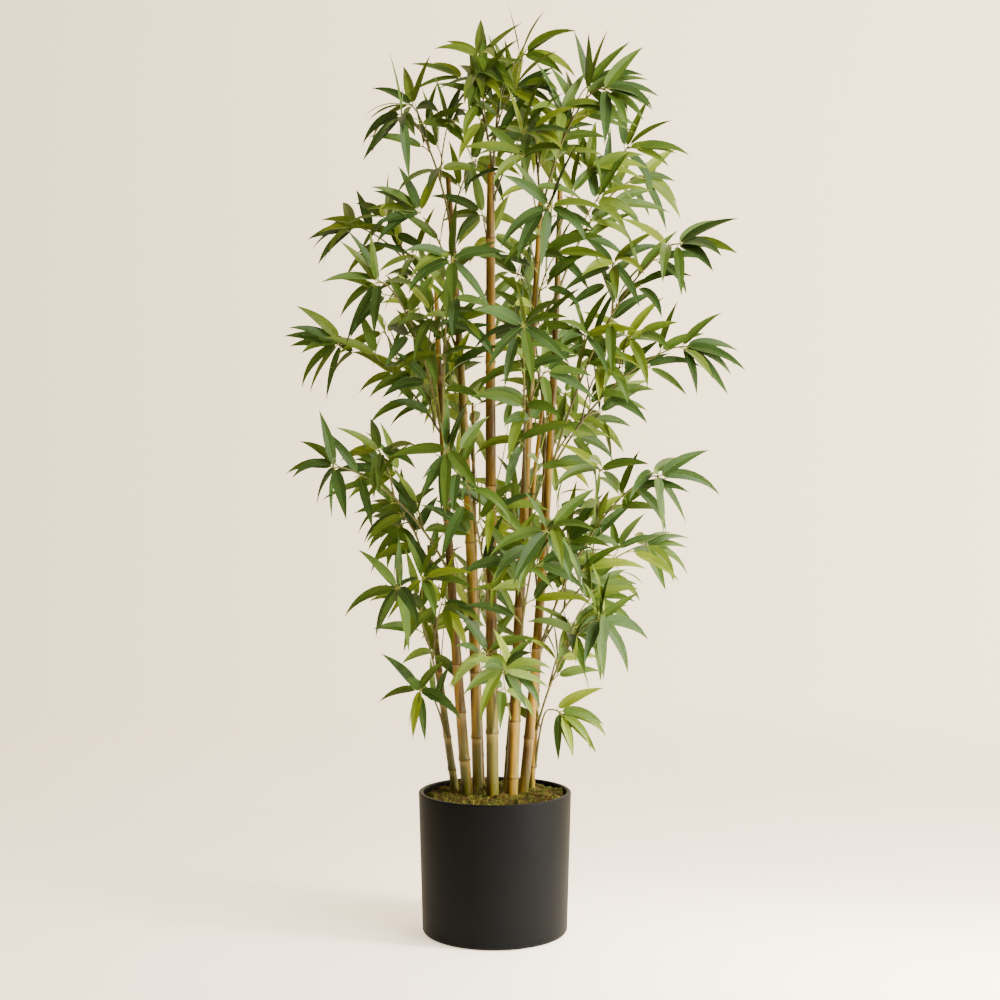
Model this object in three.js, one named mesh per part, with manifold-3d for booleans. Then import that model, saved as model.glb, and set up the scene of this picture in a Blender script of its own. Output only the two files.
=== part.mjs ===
// A potted bamboo about 1.8 m tall: a tapered cylinder pot, a bed of moss, nine bamboo culms cut
// square at the top, and thin boughs that rise from the culms' joints into masses of leaves.
// Millimetres, +Z up, origin at the centre of the pot's underside. -Y is the front.
import * as THREE from "three";
import { mergeVertices } from "three/addons/utils/BufferGeometryUtils.js";
import Module from "manifold-3d";

const wasm = await Module();
wasm.setup();
const { Manifold, Mesh: SolidMesh } = wasm;

// ---------------------------------------------------------------- driving dimensions
const POT_HEIGHT = 275;
const POT_TOP_RADIUS = 150;
const POT_FOOT_RADIUS = 142.5;
const POT_WALL = 9;
const POT_FLOOR = 12;
const POT_EDGE = 8; // rounding between the wall and the underside
const LIP_ROUND = 3; // rounding of the lip
const POT_SIDES = 28;

const SOIL_LEVEL = 245; // top of the planting fill, where the culms are cut flat
const MOSS_LEVEL = 268; // mean height of the moss
const MOSS_FALL = 9; // how much lower it lies at the wall than in the middle
const MOSS_SWELL = 5; // height of its bumps
const MOSS_RINGS = 3;
const MOSS_SIDES = 15;
const FIT_GAP = 0.5; // clear space kept between touching pieces

const THICK_CULM_SIDES = 6;
const THIN_CULM_SIDES = 5;
const THICK_CULM = 9; // foot radius from which a culm takes the higher count
const BOUGH_SIDES = 4;
const JOINT_SWELL = 1.12; // radius of a culm's joint over the cane beside it
const JOINT_HALF_WIDTH = 4;
const SLEEVE_STEPS = 6;
const MIN_STUB = 14; // least cane left over the last joint
const FOOT_SPARE = 8; // extra length under the soil line, trimmed off flat
const BOUGH_RADIUS = 2.6;
const BOUGH_TIP_RADIUS = 1.6;
const BOUGH_STEPS = 5;
const BOUGH_RISE = { steepness: 1.15, spare: 60, least: 150 }; // how far a bough climbs as it reaches out
const BOUGH_SHOULDER = { out: 0.42, up: 0.78 }; // where it bends over, as shares of its own span
const UNDER_CUT = 14; // how far below a culm's cut end its highest bough starts

const LEAF_REACH = 128; // from a twig's heart to the tip of a long leaf
const LEAF_DROOP = 0.16; // share of its reach by which a leaf's tip hangs
const BODY_RADIUS = 62; // of a mass where the leaves stand close together
const BODY_NOSE = 34; // how far that goes on past the end of the bough
const BODY_UNEVEN = 0.2; // how far its radius strays, as a share
const TIP_STRAY = { about: 12, forward: 8 }; // degrees by which a leaf's turn and lean stray
const LEAF_GAP = 1.8; // clear space kept between the masses
const LEAFY_FROM = 0.46; // share of a bough at which its first leafy twigs stand
const LEAFY_FROM_CULM = 0.2; // the same for a spray that has leaves all the way from its culm

// ---------------------------------------------------------------- culms
// foot and head are [x, y] at the soil and at the cut, top is the cut's height, bow is how far the
// cane's middle stands out of the straight line, joint is the height of the first joint and
// internode the length between two joints.
const CULMS = [
  { foot: [-74, 36], head: [-133, 46], top: 757, bow: 7, radii: [8.5, 4], joint: 311, internode: 66 },
  { foot: [-51, -16], head: [-114, -48], top: 1254, bow: 6, radii: [11, 4.6], joint: 340, internode: 94 },
  { foot: [-34, 52], head: [-94, 40], top: 1491, bow: -9, radii: [10.5, 5.8], joint: 372, internode: 130 },
  { foot: [-24, 84], head: [-46, 108], top: 1046, bow: 3, radii: [5.5, 3.2], joint: 330, internode: 150 },
  { foot: [-4, -36], head: [-8, -40], top: 1499, bow: 2, radii: [12.2, 8], joint: 395, internode: 240 },
  { foot: [19, 34], head: [102, 50], top: 1090, bow: -6, radii: [6.4, 3.6], joint: 352, internode: 160 },
  { foot: [32, -16], head: [92, -24], top: 1463, bow: -4, radii: [11.6, 5], joint: 303, internode: 112 },
  { foot: [54, 12], head: [129, 12], top: 1472, bow: 12, radii: [10.4, 5], joint: 378, internode: 178 },
  { foot: [71, 50], head: [101, 82], top: 1006, bow: 5, radii: [6.6, 3.4], joint: 312, internode: 76 },
];

// ---------------------------------------------------------------- sprays
// Each spray is a bough and the mass of leaves round its outer part. culm counts from 1 at the left,
// height and reach place the end of the bough over the ground and out from the pot's axis, bearing
// is the compass turn from +X towards +Y in degrees, and size scales its leaves. A spray with no
// bough of its own has leaves all the way from its culm.
const SPRAYS = [
  { name: "left_1", culm: 1, height: 510, reach: 142, bearing: 200, size: 0.86 },
  { name: "left_2", culm: 1, height: 697, reach: 205, bearing: 212, size: 1.0 },
  { name: "left_3", culm: 1, height: 828, reach: 203, bearing: 150, size: 0.96, bough: false },
  { name: "left_4", culm: 2, height: 922, reach: 298, bearing: 206, size: 1.02 },
  { name: "left_5", culm: 3, height: 1170, reach: 313, bearing: 160, size: 1.08 },
  { name: "left_6", culm: 2, height: 1282, reach: 241, bearing: 214, size: 0.98, bough: false },
  { name: "left_7", culm: 3, height: 1424, reach: 300, bearing: 154, size: 1.04 },
  { name: "left_8", culm: 3, height: 1606, reach: 163, bearing: 198, size: 1.0 },
  { name: "right_1", culm: 9, height: 458, reach: 118, bearing: 18, size: 0.8 },
  { name: "right_2", culm: 9, height: 640, reach: 195, bearing: -28, size: 1.0 },
  { name: "right_3", culm: 8, height: 768, reach: 309, bearing: 24, size: 1.02 },
  { name: "right_4", culm: 8, height: 914, reach: 318, bearing: -27, size: 1.0 },
  { name: "right_5", culm: 6, height: 1052, reach: 285, bearing: 44, size: 0.98 },
  { name: "right_6", culm: 8, height: 1142, reach: 339, bearing: -8, size: 1.12 },
  { name: "right_7", culm: 8, height: 1338, reach: 358, bearing: -30, size: 1.02 },
  { name: "right_8", culm: 8, height: 1514, reach: 310, bearing: 22, size: 1.08 },
  { name: "right_9", culm: 7, height: 1656, reach: 197, bearing: -20, size: 0.98 },
  { name: "top_1", culm: 3, height: 1700, reach: 52, bearing: 196, size: 0.98 },
  { name: "top_2", culm: 5, height: 1662, reach: 32, bearing: -70, size: 0.98 },
  { name: "top_3", culm: 7, height: 1622, reach: 112, bearing: 48, size: 0.94 },
  { name: "front_1", culm: 5, height: 572, reach: 178, bearing: 272, size: 0.96, bough: false },
  { name: "front_2", culm: 7, height: 850, reach: 245, bearing: 288, size: 1.0, bough: false },
  { name: "front_3", culm: 5, height: 1000, reach: 262, bearing: 256, size: 1.0, bough: false },
  { name: "front_4", culm: 7, height: 1215, reach: 270, bearing: 282, size: 1.04, bough: false },
  { name: "front_5", culm: 2, height: 1330, reach: 250, bearing: 248, size: 1.0, bough: false },
  { name: "front_6", culm: 7, height: 1430, reach: 262, bearing: 290, size: 1.0, bough: false },
  { name: "back_1", culm: 4, height: 690, reach: 220, bearing: 98, size: 1.0, bough: false },
  { name: "back_2", culm: 6, height: 930, reach: 266, bearing: 74, size: 1.02, bough: false },
  { name: "back_3", culm: 4, height: 1140, reach: 270, bearing: 112, size: 1.04, bough: false },
  { name: "back_4", culm: 8, height: 1390, reach: 262, bearing: 78, size: 1.02, bough: false },
];

// ---------------------------------------------------------------- helpers
const toRadians = THREE.MathUtils.degToRad;

// A number from -1 to 1 that is always the same for the same two whole numbers.
function jitter(seed, index) {
  const wave = Math.sin(seed * 127.1 + index * 311.7) * 43758.5453;
  return 2 * (wave - Math.floor(wave)) - 1;
}

function bareGeometry(geometry) {
  const bare = geometry.clone();
  bare.deleteAttribute("normal");
  bare.deleteAttribute("uv");
  return mergeVertices(bare, 1e-4);
}

function solidOf(geometry) {
  const bare = bareGeometry(geometry);
  return new Manifold(
    new SolidMesh({
      numProp: 3,
      vertProperties: new Float32Array(bare.attributes.position.array),
      triVerts: new Uint32Array(bare.index.array),
    }),
  );
}

function geometryOf(solid) {
  const mesh = solid.getMesh();
  const geometry = new THREE.BufferGeometry();
  geometry.setAttribute("position", new THREE.BufferAttribute(mesh.vertProperties, 3));
  geometry.setIndex(new THREE.BufferAttribute(mesh.triVerts, 1));
  const flat = geometry.toNonIndexed();
  flat.computeVertexNormals();
  return flat;
}

// Of the bodies that a cut leaves, the one that holds the most.
function largestBody(solid) {
  const bodies = solid.decompose();
  return bodies.reduce((best, body) => (body.volume() > best.volume() ? body : best), bodies[0]);
}

// A closed turned solid from [radius, height] pairs that start and end on the axis.
function turned(profile, sides) {
  const points = profile.map(([radius, height]) => new THREE.Vector2(radius, height));
  return new THREE.LatheGeometry(points, sides).rotateX(Math.PI / 2);
}

// A limb of round section along a curve: rings are [share of the curve, radius] pairs.
function limb(curve, rings, sides) {
  const tube = bareGeometry(new THREE.CylinderGeometry(1, 1, 1, sides, rings.length - 1));
  const position = tube.attributes.position;
  const up = new THREE.Vector3(0, 1, 0.001).normalize();
  const point = new THREE.Vector3();
  for (let i = 0; i < position.count; i++) {
    point.fromBufferAttribute(position, i);
    const row = Math.round((point.y + 0.5) * (rings.length - 1));
    const [share, radius] = rings[row];
    const along = curve.getTangentAt(share);
    const right = new THREE.Vector3().crossVectors(up, along).normalize();
    const front = new THREE.Vector3().crossVectors(along, right);
    const place = curve.getPointAt(share);
    place.addScaledVector(right, point.x * radius);
    place.addScaledVector(front, -point.z * radius);
    position.setXYZ(i, place.x, place.y, place.z);
  }
  const made = solidOf(tube);
  if (made.volume() > 0) return made;
  throw new Error("a limb is inside out");
}

// ---------------------------------------------------------------- pot, fill and moss
function outerRadius(height) {
  return THREE.MathUtils.lerp(POT_FOOT_RADIUS, POT_TOP_RADIUS, height / POT_HEIGHT);
}

function innerRadius(height) {
  return outerRadius(height) - POT_WALL;
}

// Points on a quarter turn about a centre, from one angle to another, both in degrees.
function arc([centreRadius, centreHeight], radius, from, to, steps) {
  return Array.from({ length: steps + 1 }, (_, i) => {
    const angle = toRadians(THREE.MathUtils.lerp(from, to, i / steps));
    return [centreRadius + radius * Math.cos(angle), centreHeight + radius * Math.sin(angle)];
  });
}

function potGeometry() {
  const footCentre = [outerRadius(POT_EDGE) - POT_EDGE, POT_EDGE];
  const lipHeight = POT_HEIGHT - LIP_ROUND;
  const outerLip = [outerRadius(POT_HEIGHT) - LIP_ROUND, lipHeight];
  const innerLip = [innerRadius(POT_HEIGHT) + LIP_ROUND, lipHeight];
  return turned(
    [
      [0, 0],
      ...arc(footCentre, POT_EDGE, -90, 0, 3),
      ...arc(outerLip, LIP_ROUND, 0, 90, 2),
      ...arc(innerLip, LIP_ROUND, 90, 180, 2),
      [innerRadius(POT_FLOOR), POT_FLOOR],
      [0, POT_FLOOR],
    ],
    POT_SIDES,
  );
}

function fillGeometry() {
  const low = POT_FLOOR + FIT_GAP;
  const high = SOIL_LEVEL - FIT_GAP;
  return turned(
    [
      [0, low],
      [innerRadius(low) - FIT_GAP, low],
      [innerRadius(high) - FIT_GAP, high],
      [0, high],
    ],
    POT_SIDES,
  );
}

// The moss is thickest in the middle, falls at the wall, and is bumpy all over.
function mossSolid() {
  const rim = innerRadius(SOIL_LEVEL) - 4 * FIT_GAP;
  const rings = Array.from({ length: MOSS_RINGS }, (_, i) => {
    const share = 1 - i / MOSS_RINGS;
    return [rim * share, MOSS_LEVEL - MOSS_FALL * share ** 6];
  });
  const bed = turned([[0, SOIL_LEVEL], [rim, SOIL_LEVEL], ...rings, [0, MOSS_LEVEL]], MOSS_SIDES);
  const geometry = bareGeometry(bed);
  const position = geometry.attributes.position;
  for (let i = 0; i < position.count; i++) {
    if (position.getZ(i) > SOIL_LEVEL + 1)
      position.setZ(i, position.getZ(i) + MOSS_SWELL * jitter(5, i));
  }
  return solidOf(geometry);
}

// ---------------------------------------------------------------- culms
function culmCurve({ foot, head, top, bow }) {
  const start = new THREE.Vector3(foot[0], foot[1], SOIL_LEVEL - FOOT_SPARE);
  const end = new THREE.Vector3(head[0], head[1], top);
  const middle = start.clone().lerp(end, 0.5);
  middle.x += Math.sign(head[0]) * bow * 2;
  return new THREE.QuadraticBezierCurve3(start, middle, end);
}

const sidesOf = ({ radii }) => (radii[0] > THICK_CULM ? THICK_CULM_SIDES : THIN_CULM_SIDES);

// Where along a culm its joints stand.
function jointShares({ top, joint, internode }, length) {
  const count = Math.floor((top - joint - MIN_STUB) / internode) + 1;
  return Array.from({ length: count }, (_, i) => {
    return (joint + i * internode - SOIL_LEVEL + FOOT_SPARE) / length;
  });
}

function caneRadius({ radii }, share) {
  return THREE.MathUtils.lerp(radii[0], radii[1], share ** 1.25);
}

function culmSolid(culm) {
  const curve = culmCurve(culm);
  const length = curve.getLength();
  const radiusAt = (share) => caneRadius(culm, share);
  const rings = [[0, radiusAt(0)]];
  for (const share of jointShares(culm, length)) {
    const step = JOINT_HALF_WIDTH / length;
    rings.push([share - step, radiusAt(share)]);
    rings.push([share, radiusAt(share) * JOINT_SWELL]);
    rings.push([share + step, radiusAt(share)]);
  }
  rings.push([1, radiusAt(1)]);
  return limb(curve, rings, sidesOf(culm)).trimByPlane([0, 0, 1], SOIL_LEVEL);
}

// A plain sleeve that clears a culm and its joints all round, for cutting its neighbours.
function culmSleeve(culm) {
  const rings = Array.from({ length: SLEEVE_STEPS + 1 }, (_, i) => {
    const share = i / SLEEVE_STEPS;
    return [share, caneRadius(culm, share) * JOINT_SWELL + FIT_GAP];
  });
  return limb(culmCurve(culm), rings, sidesOf(culm));
}

// ---------------------------------------------------------------- boughs
function heartOf({ height, reach, bearing }) {
  const turn = toRadians(bearing);
  return new THREE.Vector3(reach * Math.cos(turn), reach * Math.sin(turn), height);
}

// The point of a culm's axis at a height, which rises evenly with the curve's own parameter.
function onCulm(culm, height) {
  const curve = culmCurve(culm);
  return curve.getPoint((height - curve.v0.z) / (curve.v2.z - curve.v0.z));
}

// A bough leaves its culm steeply, rises about as far as it reaches, and flattens towards its leaves.
// Over a cut culm it starts at the cut and stands nearly upright.
function boughCurve(spray) {
  const culm = CULMS[spray.culm - 1];
  const heart = heartOf(spray);
  const across = Math.hypot(heart.x - culm.head[0], heart.y - culm.head[1]);
  const rise = Math.max(BOUGH_RISE.steepness * across + BOUGH_RISE.spare, BOUGH_RISE.least);
  const start = onCulm(culm, Math.min(heart.z - rise, culm.top - UNDER_CUT));
  const shoulder = start.clone().lerp(heart, BOUGH_SHOULDER.out);
  shoulder.z = THREE.MathUtils.lerp(start.z, heart.z, BOUGH_SHOULDER.up);
  return new THREE.QuadraticBezierCurve3(start, shoulder, heart);
}

function boughSolid(spray, extra = 0) {
  const rings = Array.from({ length: BOUGH_STEPS }, (_, i) => {
    const share = i / (BOUGH_STEPS - 1);
    return [share, THREE.MathUtils.lerp(BOUGH_RADIUS, BOUGH_TIP_RADIUS, share) + extra];
  });
  return limb(boughCurve(spray), rings, BOUGH_SIDES);
}

// ---------------------------------------------------------------- masses of leaves
// The longest leaves of a spray: [share of the leafy part it grows from, turn about the bough from
// its upper side, lean forward from square, share of a full leaf, latitude of its root on the
// mass from 90 at the nose to -90 at the tail], angles in degrees.
const LEAF_TIPS = [
  [1.0, 20, 84, 1.0, 90],
  [0.96, 0, 42, 0.95, 44],
  [0.96, 72, 34, 1.02, 44],
  [0.96, 150, 40, 1.08, 44],
  [0.96, -140, 34, 1.05, 44],
  [0.96, -70, 40, 1.0, 44],
  [0.6, 40, 14, 0.92, 4],
  [0.54, 130, 8, 0.96, 4],
  [0.56, -135, 8, 0.95, 4],
  [0.6, -45, 14, 0.94, 4],
  [0.24, 5, 2, 0.86, -40],
  [0.2, 115, 0, 0.8, -40],
  [0.2, -120, 0, 0.82, -40],
];

function nearestTo(points, point) {
  return points.reduce((best, p, i) => {
    return p.distanceTo(point) < points[best].distanceTo(point) ? i : best;
  }, 0);
}

// A mass lies along the straight line from a bough's first leafy twig to its end. extra swells it
// along its normals, for cutting its neighbours clear of it.
function leafMass(spray, seed, extra = 0) {
  const bough = boughCurve(spray);
  const tail = bough.getPointAt(spray.bough === false ? LEAFY_FROM_CULM : LEAFY_FROM);
  const heart = bough.v2;
  const along = heart.clone().sub(tail).normalize();
  const side = new THREE.Vector3(-along.y, along.x, 0).normalize();
  const roof = new THREE.Vector3().crossVectors(along, side);
  const ball = bareGeometry(new THREE.IcosahedronGeometry(1, 1));
  const position = ball.attributes.position;
  const directions = Array.from({ length: position.count }, (_, i) =>
    new THREE.Vector3().fromBufferAttribute(position, i).normalize(),
  );
  const places = directions.map((d, i) => {
    const swell = BODY_RADIUS * spray.size * (1 + BODY_UNEVEN * jitter(seed, i));
    return tail
      .clone()
      .lerp(heart, (d.x + 1) / 2)
      .addScaledVector(side, d.y * swell)
      .addScaledVector(roof, d.z * swell)
      .addScaledVector(along, BODY_NOSE * Math.max(0, d.x) ** 2);
  });
  LEAF_TIPS.forEach(([share, about, forward, length, latitude], i) => {
    const roll = toRadians(about + TIP_STRAY.about * jitter(seed, 200 + i));
    const lean = toRadians(forward + TIP_STRAY.forward * jitter(seed, 300 + i));
    const root = new THREE.Vector3().setFromSphericalCoords(1, toRadians(90 - latitude), roll);
    const rooted = nearestTo(directions, new THREE.Vector3(root.y, root.x, root.z));
    const pointing = roof.clone().multiplyScalar(Math.cos(roll)).addScaledVector(side, Math.sin(roll));
    pointing.multiplyScalar(Math.cos(lean)).addScaledVector(along, Math.sin(lean));
    pointing.z -= LEAF_DROOP;
    const reach = LEAF_REACH * length * spray.size;
    places[rooted] = tail.clone().lerp(heart, share).addScaledVector(pointing, reach);
  });
  places.forEach((p, i) => position.setXYZ(i, p.x, p.y, p.z));
  ball.computeVertexNormals();
  const normal = new THREE.Vector3();
  places.forEach((p, i) => {
    p.addScaledVector(normal.fromBufferAttribute(ball.attributes.normal, i), extra);
    position.setXYZ(i, p.x, p.y, p.z);
  });
  return solidOf(ball);
}

// ---------------------------------------------------------------- assembly
const finish = (color, roughness) =>
  new THREE.MeshStandardMaterial({ color, roughness, metalness: 0 });
const MATERIALS = {
  pot: finish(0x2b2a29, 0.55),
  fill: finish(0x4a3b2c, 0.95),
  moss: finish(0x5f6a2a, 1),
  culm: finish(0xb08a50, 0.5),
  bough: finish(0x4b5a26, 0.7),
  leaves: finish(0x3f7429, 0.6),
};

const bamboo = new THREE.Group();

function addPiece(name, geometry, material) {
  const mesh = new THREE.Mesh(geometry, material);
  mesh.name = name;
  bamboo.add(mesh);
}

// Whether the boxes round two solids meet.
function near(a, b) {
  const [boxA, boxB] = [a.boundingBox(), b.boundingBox()];
  return [0, 1, 2].every((k) => boxA.min[k] < boxB.max[k] && boxB.min[k] < boxA.max[k]);
}

// A solid less everything in a list that comes near it.
function cutBy(solid, others) {
  const cutters = others.filter((other) => near(solid, other));
  return cutters.length ? largestBody(Manifold.difference([solid, ...cutters])) : solid;
}

const sleeves = CULMS.map(culmSleeve);
addPiece("pot", potGeometry(), MATERIALS.pot);
addPiece("planting_fill", fillGeometry(), MATERIALS.fill);
addPiece("moss_bed", geometryOf(cutBy(mossSolid(), sleeves)), MATERIALS.moss);
CULMS.forEach((culm, i) => {
  addPiece(`culm_${i + 1}`, geometryOf(culmSolid(culm)), MATERIALS.culm);
});

// A bough is cut by every culm and ends where it enters its own leaves. A mass is cut round the
// culms, the boughs and the masses before it.
const boughed = SPRAYS.filter((spray) => spray.bough !== false);
const fatBoughs = boughed.map((spray) => boughSolid(spray, FIT_GAP));
boughed.forEach((spray, i) => {
  const leaves = leafMass(spray, SPRAYS.indexOf(spray), LEAF_GAP);
  const bough = cutBy(boughSolid(spray), [...sleeves, ...fatBoughs.slice(0, i), leaves]);
  addPiece(`bough_${spray.name}`, geometryOf(bough), MATERIALS.bough);
});
const cut = [...sleeves, ...fatBoughs];
SPRAYS.forEach((spray, i) => {
  const own = cutBy(leafMass(spray, i), cut);
  cut.push(own, leafMass(spray, i, LEAF_GAP));
  addPiece(`leaves_${spray.name}`, geometryOf(own), MATERIALS.leaves);
});

export default bamboo;
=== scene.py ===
# %% [markdown]
# # A potted bamboo
# The real plant is an artificial one: natural canes cut square at the top, wire twigs with
# plastic leaves, a charcoal cylinder pot and a bed of moss. The CAD frame gives the pot, the canes,
# the boughs and the outline of every mass of leaves. Here each of them gets its real surface, and
# each mass is replaced by twigs and leaves that grow on from its bough.

# %% Load the frame
import math

import bmesh
import bpy
import numpy as np
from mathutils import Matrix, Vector, noise


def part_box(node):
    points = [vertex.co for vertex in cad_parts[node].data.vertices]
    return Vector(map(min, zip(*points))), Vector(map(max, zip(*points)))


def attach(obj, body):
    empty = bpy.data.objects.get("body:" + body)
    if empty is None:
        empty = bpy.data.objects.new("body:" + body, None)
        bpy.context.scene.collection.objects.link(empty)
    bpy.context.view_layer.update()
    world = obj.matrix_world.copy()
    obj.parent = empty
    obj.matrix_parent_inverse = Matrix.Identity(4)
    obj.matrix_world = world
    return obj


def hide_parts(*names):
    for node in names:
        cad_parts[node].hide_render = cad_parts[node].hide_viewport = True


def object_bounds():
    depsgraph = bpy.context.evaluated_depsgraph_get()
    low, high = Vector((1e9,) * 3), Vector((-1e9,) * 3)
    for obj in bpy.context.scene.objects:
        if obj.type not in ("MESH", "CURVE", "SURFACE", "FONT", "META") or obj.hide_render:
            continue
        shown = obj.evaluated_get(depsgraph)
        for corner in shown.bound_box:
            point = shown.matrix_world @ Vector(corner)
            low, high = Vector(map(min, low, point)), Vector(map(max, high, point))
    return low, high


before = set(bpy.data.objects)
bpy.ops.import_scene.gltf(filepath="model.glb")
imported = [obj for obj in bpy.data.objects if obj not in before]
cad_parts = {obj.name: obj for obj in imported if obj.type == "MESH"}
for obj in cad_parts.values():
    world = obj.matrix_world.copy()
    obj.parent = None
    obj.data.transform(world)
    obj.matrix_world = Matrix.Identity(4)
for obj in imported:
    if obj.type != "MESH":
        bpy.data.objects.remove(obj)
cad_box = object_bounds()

print("CAD box, m:", [[round(c, 3) for c in corner] for corner in cad_box])

# %% [markdown]
# ## Shader maths
# A finish can be built in the shader editor, or link by link in Python. Neither is easy to read
# back, and a sum is. So `Wire` holds one output socket, and its operators add the Math node that a
# sum needs: `1 - mask * 0.5` is a small node tree.

# %% A socket with operators
class Wire:
    """One output socket of a material's node tree, with arithmetic."""

    def __init__(self, tree, socket):
        self.tree, self.socket = tree, socket

    def node(self, kind, settings=None, **sockets):
        """Adds a node: its settings are set first, then its sockets' values or links.

        A socket goes by its name, or by its number where its name says too little: _6 is input 6.
        """
        made = self.tree.nodes.new(kind)
        for name, value in (settings or {}).items():
            setattr(made, name, value)
        for name, value in sockets.items():
            socket = made.inputs[int(name[1:]) if name[0] == "_" else name.replace("_", " ")]
            if isinstance(value, Wire):
                self.tree.links.new(value.socket, socket)
            else:
                socket.default_value = value
        return made

    def out(self, kind, output=0, settings=None, **sockets):
        """The same, giving one of the new node's outputs as a Wire."""
        return Wire(self.tree, self.node(kind, settings, **sockets).outputs[output])

    def maths(self, operation, first, second=0.0, clamp=False):
        """Adds a Math node that works on two wires or numbers."""
        settings = {"operation": operation, "use_clamp": clamp}
        return self.out("ShaderNodeMath", 0, settings, _0=first, _1=second)

    def __add__(self, other):
        return self.maths("ADD", self, other)

    def __sub__(self, other):
        return self.maths("SUBTRACT", self, other)

    def __rsub__(self, other):
        return self.maths("SUBTRACT", other, self)

    def __mul__(self, other):
        return self.maths("MULTIPLY", self, other)

    __radd__, __rmul__ = __add__, __mul__

    def clamped(self):
        """The same value, kept between 0 and 1."""
        return self.maths("ADD", self, 0.0, clamp=True)


# %% A material and the patterns that it is made of
def new_material(name, roughness=0.5, **constants):
    """A material with a Principled shader. Gives the material, its shader and a Wire to start from."""
    material = bpy.data.materials.new(name)
    material.use_nodes = True
    tree = material.node_tree
    shader = tree.nodes["Principled BSDF"]
    shader.inputs["Roughness"].default_value = roughness
    for socket, value in constants.items():
        shader.inputs[socket.replace("_", " ")].default_value = value
    place = Wire(tree, tree.nodes.new("ShaderNodeTexCoord").outputs["Object"])
    return material, shader, place


def patch(place, scale, detail=3.0, stretch=(1.0, 1.0, 1.0), roughness=0.55):
    """A cloudy pattern from 0 to 1, stretched along the axes."""
    mapped = place.out("ShaderNodeMapping", 0, None, Vector=place, Scale=stretch)
    return place.out(
        "ShaderNodeTexNoise", 0, None, Vector=mapped, Scale=scale, Detail=detail, Roughness=roughness
    )


def contrast(value, low, high):
    """Stretches a pattern so that low becomes 0 and high becomes 1."""
    return ((value - low) * (1.0 / (high - low))).clamped()


def blend_colours(factor, first, second):
    """Mixes two colours, each a Wire or three numbers, by a factor."""
    ends = [c if isinstance(c, Wire) else (*c, 1.0) for c in (first, second)]
    settings = {"data_type": "RGBA"}
    return factor.out("ShaderNodeMix", 2, settings, _0=factor, _6=ends[0], _7=ends[1])


def feed(shader, **wires):
    """Links wires to the shader's sockets."""
    for socket, wire in wires.items():
        wire.tree.links.new(wire.socket, shader.inputs[socket.replace("_", " ")])


def bump(height, strength, distance):
    """A surface normal from a pattern of heights."""
    return height.out("ShaderNodeBump", 0, None, Height=height, Strength=strength, Distance=distance)


# %% [markdown]
# ## Finishing a piece
# Every piece ends the same way: its mesh becomes an object at the origin, takes its material, rides
# on the frame's one body and stands for its CAD nodes. Repeating those lines for each piece would
# hide what differs, so one function holds them.

# %% Turn a mesh into a piece
def add_piece(name, mesh, material, replaces):
    """Puts a mesh in the scene as a smooth piece of the object, in the place of CAD nodes."""
    mesh.polygons.foreach_set("use_smooth", [True] * len(mesh.polygons))
    mesh.materials.clear()
    mesh.materials.append(material)
    piece = bpy.data.objects.new(name, mesh)
    bpy.context.collection.objects.link(piece)
    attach(piece, "root")
    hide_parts(*replaces)


def mesh_from(name, shape):
    """Turns a finished bmesh into a mesh, with its faces pointing out."""
    bmesh.ops.recalc_face_normals(shape, faces=shape.faces)
    mesh = bpy.data.meshes.new(name)
    shape.to_mesh(mesh)
    shape.free()
    return mesh


def turned(profile, steps):
    """A closed shape of revolution about Z from (radius, height) points that end on the axis."""
    shape = bmesh.new()
    line = [shape.verts.new((radius, 0.0, height)) for radius, height in profile]
    edges = [shape.edges.new(pair) for pair in zip(line, line[1:])]
    bmesh.ops.spin(
        shape, geom=line + edges, cent=(0, 0, 0), axis=(0, 0, 1),
        angle=math.tau, steps=steps, use_merge=True,
    )
    bmesh.ops.remove_doubles(shape, verts=shape.verts, dist=1e-6)
    return shape


# %% [markdown]
# ## The pot
# A pot like this is moulded or spun, so it is a turned shape: one profile swept about the axis. The
# wall tapers a little, the foot is rounded, and the lip has a small round that catches the light. A
# cylinder could be inset and bevelled to this shape, but a spin makes it in one step. The profile's
# sizes come from the CAD pot's box.

# %% Turn the pot
MM = 0.001
pot_low, pot_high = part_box("pot")
POT_RADIUS = (pot_high.x - pot_low.x) / 2
POT_HEIGHT = pot_high.z
POT_TAPER = 7.5 * MM
POT_WALL = 9 * MM
POT_FLOOR = 12 * MM
POT_SIDES = 128
FOOT_ROUND = 8 * MM
LIP_ROUND = 3 * MM


def quarter(centre, radius, start, end, steps=8):
    """Points along an arc about a centre, from one angle to another in degrees."""
    angles = np.radians(np.linspace(start, end, steps))
    return [(centre[0] + radius * math.cos(a), centre[1] + radius * math.sin(a)) for a in angles]


def pot_profile():
    """(radius, height) points from under the pot, up outside, and down inside to its floor."""
    foot = POT_RADIUS - POT_TAPER
    outer_lip = (POT_RADIUS - LIP_ROUND, POT_HEIGHT - LIP_ROUND)
    inner_lip = (POT_RADIUS - POT_WALL + LIP_ROUND, POT_HEIGHT - LIP_ROUND)
    return [
        (0, 0),
        *quarter((foot - FOOT_ROUND, FOOT_ROUND), FOOT_ROUND, -90, 0),
        *quarter(outer_lip, LIP_ROUND, 0, 90),
        *quarter(inner_lip, LIP_ROUND, 90, 180),
        (foot - POT_WALL, POT_FLOOR),
        (0, POT_FLOOR),
    ]


pot_mesh = mesh_from("pot_shell", turned(pot_profile(), POT_SIDES))
print("pot faces:", len(pot_mesh.polygons), "radius, m:", round(POT_RADIUS, 3))

# %% [markdown]
# ## The pot's colour
# The pot is matt and nearly black, and reflects very little. One flat colour would look like paint,
# so two noises vary it: a broad one for the mould's cloudiness and a fine one for the powdery grain.

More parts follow.
